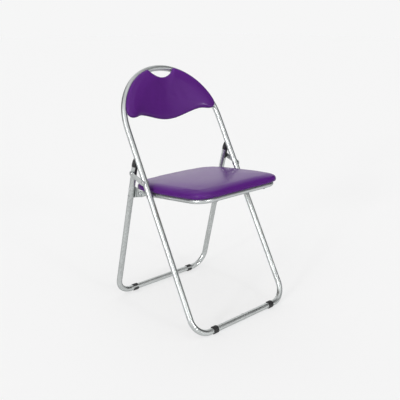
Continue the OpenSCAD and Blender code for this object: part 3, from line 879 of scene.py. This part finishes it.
# The hem's section, as inset from the board's rear edge and height towards the front
HEM_SECTION = (
    (-0.0058, 0.004), (-0.0063, 0.0015), (-0.0058, -0.0003), (-0.0035, -0.0012), (0.003, -0.0012),
    (0.011, -0.0011), (0.012, -0.0006), (0.012, 0.0008), (0.003, 0.001),
)


def ease_in(value):
    """Smooth step from 0 to 1."""
    value = min(1.0, max(0.0, value))
    return value * value * (3 - 2 * value)


def lobe_reach(co):
    """How the cover hangs fuller than its board at the backrest's two lower lobes."""
    out = ease_in((abs(co.x) - LOBE_FROM) / LOBE_WIDE)
    low = ease_in((LOBE_TOP - co.dot(UP_FRAME)) / LOBE_TALL)
    return UP_FRAME * (-LOBE_DROP * out * low)


def on_back(across, up, off):
    """A point given in the front frame's own directions, lowered with the lobes."""
    spot = Vector((across, 0, 0)) + UP_FRAME * up + OFF_FRAME * off
    return spot + lobe_reach(spot)


class CHAIR_OT_back_cushion(bpy.types.Operator):
    """Builds the backrest's vinyl cushion, and its hem stapled to the back of the board"""

    bl_idname = "chair.back_cushion"
    bl_label = "Backrest cushion"

    def execute(self, context):
        pads = context.scene.chair_pads
        cushion = copy_of("backrest_pad", "back_cushion")
        cushion.data.remesh_voxel_size = pads.voxel
        cushion.data.remesh_voxel_adaptivity = 0.0
        bpy.ops.object.voxel_remesh()
        fuller = cushion.modifiers.new("Fuller", "DISPLACE")
        fuller.strength = 0.001
        fuller.mid_level = 0.0
        even = cushion.modifiers.new("Level", "SMOOTH")
        even.factor = 0.5
        even.iterations = 2
        apply_modifiers(cushion)

        def pinned(vertex):
            return vertex.normal.dot(OFF_FRAME) < 0.35

        inflate(cushion, pinned, pads.back_swell, pads.pressure)
        soften(cushion)
        for vertex in cushion.data.vertices:
            vertex.co += lobe_reach(vertex.co)
        finish_piece(cushion, "front_frame", "pad_vinyl", "backrest_pad")
        self.hem(self.board_edge())
        return {"FINISHED"}

    def board_edge(self):
        """The points round the rear edge of the backrest's board."""
        board = copy_of("backrest_board", "board_edge")
        bpy.ops.object.mode_set(mode="EDIT")
        data = bmesh.from_edit_mesh(board.data)
        data.normal_update()
        front = [face for face in data.faces if face.normal.dot(OFF_FRAME) > -0.55]
        bmesh.ops.delete(data, geom=front, context="FACES")
        loop = longest_loop([edge for edge in data.edges if edge.is_boundary])
        places = [v.co.copy() for v in loop]
        bpy.ops.object.mode_set(mode="OBJECT")
        bpy.data.objects.remove(board)
        return places

    def hem(self, places):
        """Folds a strip of cover round the board's edge and staples it."""
        edge = [(p.x, p.dot(UP_FRAME), p.dot(OFF_FRAME)) for p in places]
        if sum(a[0] * b[1] - a[1] * b[0] for a, b in steps_of(edge)) < 0:
            edge = edge[::-1]
        line = even_loop(edge, HEM_POINTS)
        for _ in range(3):
            threes = zip(line[-1:] + line[:-1], line, line[1:] + line[:1])
            line = [tuple((a + 2 * b + c) / 4 for a, b, c in zip(*three)) for three in threes]
        ways = outward([(x, y) for x, y, z in line])
        points = []
        for inset, up in HEM_SECTION:
            points += [
                on_back(x - nx * inset, y - ny * inset, z + up)
                for (x, y, z), (nx, ny, _) in zip(line, ways)
            ]
        faces = ring_faces(HEM_POINTS, len(HEM_SECTION), closed=True)
        strip = mesh_piece("back_hem", points, faces)
        edit_all(strip)
        bpy.ops.mesh.normals_make_consistent(inside=False)
        bpy.ops.object.mode_set(mode="OBJECT")
        smooth(strip, 70)
        finish_piece(strip, "front_frame", "pad_vinyl")
        spots = []
        for k in range(0, HEM_POINTS, HEM_STAPLES):
            (x, y, z), (nx, ny, _) = line[k], ways[k]
            place = on_back(
                x - nx * HEM_STAPLE_INSET, y - ny * HEM_STAPLE_INSET, z - HEM_STAPLE_OFF,
            )
            spots.append((place, Vector((-ny, 0, 0)) + UP_FRAME * nx, -OFF_FRAME))
        staples_along("back_staples", "front_frame", spots)


# Rigid fittings

def eased(node, name, width, segments=2, span=1.0):
    """A copy of a rigid CAD piece, span times as wide, with its sharp edges rounded."""
    part = next(part for part in frame["record"]["subparts"] if part["node"] == node)
    bodies = frame["record"]["behaviour"]["bodies"]
    body = next(body for body, nodes in bodies.items() if node in nodes)
    piece = copy_of(node, name)
    edit_all(piece)
    bpy.ops.mesh.dissolve_limited(angle_limit=math.radians(2.0))
    bpy.ops.object.mode_set(mode="OBJECT")
    low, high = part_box(node)
    middle = (low.x + high.x) / 2
    for vertex in piece.data.vertices:
        vertex.co.x = middle + (vertex.co.x - middle) * span
    edge = piece.modifiers.new("Edges", "BEVEL")
    edge.width = width
    edge.segments = segments
    edge.limit_method = "ANGLE"
    edge.angle_limit = math.radians(32.0)
    edge.use_clamp_overlap = True
    edge.miter_outer = "MITER_ARC"
    apply_modifiers(piece)
    smooth(piece, 38)
    finish_piece(piece, body, part["material_slot"], node)


class CHAIR_OT_straps(bpy.types.Operator):
    """Builds the link straps and the leg brackets with their rolled edges"""

    bl_idname = "chair.straps"
    bl_label = "Links and brackets"

    def execute(self, context):
        for side in ("left", "right"):
            eased("link_" + side, "link_strap_" + side, 0.0004)
            eased("leg_bracket_" + side, "leg_bracket_plate_" + side, 0.0004)
        return {"FINISHED"}


# The bead's ripples round the tube, their slant across it and depth, and its wide places
WELD_RIPPLES, WELD_SLANT, WELD_DEPTH = 26, 900, 0.3
WELD_SWELLS, WELD_SPREAD = 5, 0.25


class CHAIR_OT_weld(bpy.types.Operator):
    """Builds the rippled weld bead that joins the front bar"""

    bl_idname = "chair.weld"
    bl_label = "Weld bead"

    def execute(self, context):
        low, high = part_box("front_frame_sleeve")
        centre = (low + high) / 2
        bpy.ops.object.select_all(action="DESELECT")
        bpy.ops.mesh.primitive_torus_add(
            major_radius=TUBE_RADIUS, minor_radius=context.scene.chair_metal.weld,
            major_segments=144, minor_segments=10,
            location=centre, rotation=(0, math.pi / 2, 0),
        )
        ring = only(bpy.context.object)
        ring.name = "front_bar_weld"
        bpy.ops.object.transform_apply(location=True, rotation=True, scale=True)
        for vertex in ring.data.vertices:
            away = vertex.co - centre
            turn = math.atan2(away.z, away.y)
            ripple = 1 + WELD_DEPTH * math.sin(WELD_RIPPLES * turn + WELD_SLANT * abs(away.x))
            wide = 2 * (1 + WELD_SPREAD * math.sin(WELD_SWELLS * turn))
            across = Vector((away.x * wide, 0, 0))
            radial = Vector((0, away.y, away.z))
            depth = (radial.length - TUBE_RADIUS) * 0.9 * ripple
            vertex.co = centre + across + radial.normalized() * (TUBE_RADIUS + depth)
        smooth(ring, 60)
        finish_piece(ring, "front_frame", "bare_steel")
        return {"FINISHED"}


class CHAIR_OT_rubbers(bpy.types.Operator):
    """Builds the moulded black feet and end caps with softened edges"""

    bl_idname = "chair.rubbers"
    bl_label = "Feet and caps"

    def execute(self, context):
        span = context.scene.chair_metal.foot_span
        for side in ("left", "right"):
            eased("front_foot_" + side, "front_foot_clip_" + side, 0.0007, 3, span)
            eased("rear_foot_" + side, "rear_foot_clip_" + side, 0.0007, 3, span)
            eased("end_cap_" + side, "end_cap_moulding_" + side, 0.0005)
        return {"FINISHED"}


class CHAIR_OT_finishes(bpy.types.Operator):
    """Gives every carried-over piece the finish of its slot"""

    bl_idname = "chair.finishes"
    bl_label = "Finishes"

    def execute(self, context):
        for part in frame["record"]["subparts"]:
            node = NODES[part["node"]]
            material = finishes()[part["material_slot"]]
            if not node.material_slots:
                node.data.materials.append(material)
            for slot in node.material_slots:
                slot.material = material
        return {"FINISHED"}


# Studio

# Soft lights of the room: azimuth, elevation, radius, soft rim in degrees, strength
SOFTBOXES = (
    (-80, 12, 5, 5, 1.8),
    (-86, 36, 10, 10, 1.5),
    (-74, 14, 2.5, 2, 80.0),
    (0, 14, 2.5, 2, 60.0),
    (-30, 72, 20, 20, 0.45),
    (24, 40, 14, 16, 0.1),
    (150, 34, 26, 18, 0.5),
)

# Dark flags between the lights and the backdrop, which only shiny surfaces show
FLAGS = (
    (-160, 18, 24, 14, -0.9),
    (70, 20, 24, 14, -0.88),
    (-14, 20, 26, 30, -0.12),
    (0, 90, 26, 20, -0.45),
    (112, 44, 22, 16, -0.3),
)


def compass(azimuth, elevation):
    """The direction at an azimuth from the chair's front and an elevation, in radians."""
    flat = math.cos(elevation)
    return Vector((math.sin(azimuth) * flat, -math.cos(azimuth) * flat, math.sin(elevation)))


def softbox(tree, links, where, azimuth, elevation, reach, soft, strength):
    """Light from a round patch of the room, as a strength by direction."""
    dot = tree.new("ShaderNodeVectorMath")
    dot.operation = "DOT_PRODUCT"
    dot.inputs[1].default_value = compass(math.radians(azimuth), math.radians(elevation))
    links.new(where, dot.inputs[0])
    outer, inner = math.cos(math.radians(reach + soft)), math.cos(math.radians(reach))
    node = tree.new("ShaderNodeMapRange")
    node.interpolation_type = "SMOOTHSTEP"
    links.new(dot.outputs["Value"], node.inputs["Value"])
    set_inputs(node, {"From Min": outer, "From Max": inner, "To Min": 0.0, "To Max": strength})
    return node.outputs["Result"]


def studio_world(stage):
    """White paper for the camera, and a dim room with soft lights for everything else."""
    world = bpy.data.worlds.new("Studio")
    bpy.context.scene.world = world
    world.use_nodes = True
    tree, links = world.node_tree.nodes, world.node_tree.links
    where = tree.new("ShaderNodeTexCoord").outputs["Generated"]
    path = tree.new("ShaderNodeLightPath").outputs
    mirror = maths(tree, links, "MAXIMUM", path["Is Glossy Ray"], path["Is Transmission Ray"])
    backdrop = stage.paper - stage.room
    for flag in FLAGS:
        backdrop = maths(tree, links, "ADD", softbox(tree, links, where, *flag), backdrop)
    total = maths(tree, links, "ADD", maths(tree, links, "MULTIPLY", mirror, backdrop), stage.room)
    for box in SOFTBOXES:
        total = maths(tree, links, "ADD", softbox(tree, links, where, *box), total)
    white = (1.0, 1.0, 1.0, 1.0)
    room = tree.new("ShaderNodeBackground")
    room.inputs["Color"].default_value = white
    links.new(total, room.inputs["Strength"])
    paper = tree["Background"]
    set_inputs(paper, {"Color": white, "Strength": stage.paper})
    choose = tree.new("ShaderNodeMixShader")
    links.new(path["Is Camera Ray"], choose.inputs[0])
    links.new(room.outputs[0], choose.inputs[1])
    links.new(paper.outputs[0], choose.inputs[2])
    links.new(choose.outputs[0], tree["World Output"].inputs["Surface"])


def floor_material(stage):
    """Pale paper that meets the background's level and keeps the chair's soft shadow."""
    material, tree, links, shader, place = start_material("Studio paper")
    tree.remove(shader)
    tree.remove(place.node)
    diffuse = tree.new("ShaderNodeBsdfDiffuse")
    diffuse.inputs["Color"].default_value = (stage.floor, stage.floor, stage.floor, 1.0)
    path = tree.new("ShaderNodeLightPath").outputs
    seen = maths(tree, links, "MAXIMUM", path["Is Camera Ray"], path["Is Glossy Ray"])
    seen = maths(tree, links, "MAXIMUM", seen, path["Is Transmission Ray"])
    glow = tree.new("ShaderNodeEmission")
    glow.inputs["Color"].default_value = (1.0, 1.0, 1.0, 1.0)
    links.new(maths(tree, links, "MULTIPLY", seen, stage.lift), glow.inputs["Strength"])
    both = tree.new("ShaderNodeAddShader")
    links.new(diffuse.outputs[0], both.inputs[0])
    links.new(glow.outputs[0], both.inputs[1])
    links.new(both.outputs[0], tree["Material Output"].inputs["Surface"])
    return material


class CHAIR_OT_stage(bpy.types.Operator):
    """Sets the floor, the light and the camera"""

    bl_idname = "chair.stage"
    bl_label = "Studio"

    def execute(self, context):
        stage = context.scene.chair_stage
        bpy.ops.object.select_all(action="DESELECT")
        bpy.ops.mesh.primitive_plane_add(size=60, location=(0, 0, -0.0002))
        floor = context.object
        floor.name = "studio_floor"
        floor.data.materials.append(floor_material(stage))
        studio_world(stage)

        out = compass(stage.azimuth, stage.elevation)
        spot = Vector((0, stage.target_y, stage.target_z)) + out * stage.distance
        bpy.ops.object.camera_add(location=spot, rotation=out.to_track_quat("Z", "Y").to_euler())
        camera = context.object
        camera.name = "photo_camera"
        camera.data.lens = stage.lens
        camera.data.sensor_width = 36.0
        camera.data.clip_end = 100.0
        context.scene.camera = camera
        context.scene.view_settings.view_transform = "Standard"
        return {"FINISHED"}


class CHAIR_PT_panel(bpy.types.Panel):
    """Lists the chair's settings and operators"""

    bl_idname = "CHAIR_PT_panel"
    bl_label = "Folding chair"
    bl_space_type = "VIEW_3D"
    bl_region_type = "UI"
    bl_category = "Chair"

    def draw(self, context):
        for name, group in SETTINGS:
            box = self.layout.box()
            for setting in group.__annotations__:
                box.prop(getattr(context.scene, name), setting)
        for operator in OPERATORS:
            self.layout.operator(operator.bl_idname)


SETTINGS = (
    ("chair_pads", PadSettings),
    ("chair_metal", MetalSettings),
    ("chair_stage", StageSettings),
)
OPERATORS = (
    CHAIR_OT_finishes,
    CHAIR_OT_seat_cushion,
    CHAIR_OT_back_cushion,
    CHAIR_OT_straps,
    CHAIR_OT_weld,
    CHAIR_OT_rubbers,
    CHAIR_OT_stage,
)


def register():
    for name, group in SETTINGS:
        bpy.utils.register_class(group)
        setattr(bpy.types.Scene, name, PointerProperty(type=group))
    for operator in OPERATORS:
        bpy.utils.register_class(operator)
    bpy.utils.register_class(CHAIR_PT_panel)


def unregister():
    bpy.utils.unregister_class(CHAIR_PT_panel)
    for operator in reversed(OPERATORS):
        bpy.utils.unregister_class(operator)
    for name, group in reversed(SETTINGS):
        delattr(bpy.types.Scene, name)
        bpy.utils.unregister_class(group)


def main():
    register()
    bpy.ops.chair.finishes()
    bpy.ops.chair.seat_cushion()
    bpy.ops.chair.back_cushion()
    bpy.ops.chair.straps()
    bpy.ops.chair.weld()
    bpy.ops.chair.rubbers()
    bpy.ops.chair.stage()


if __name__ == "__main__":
    main()
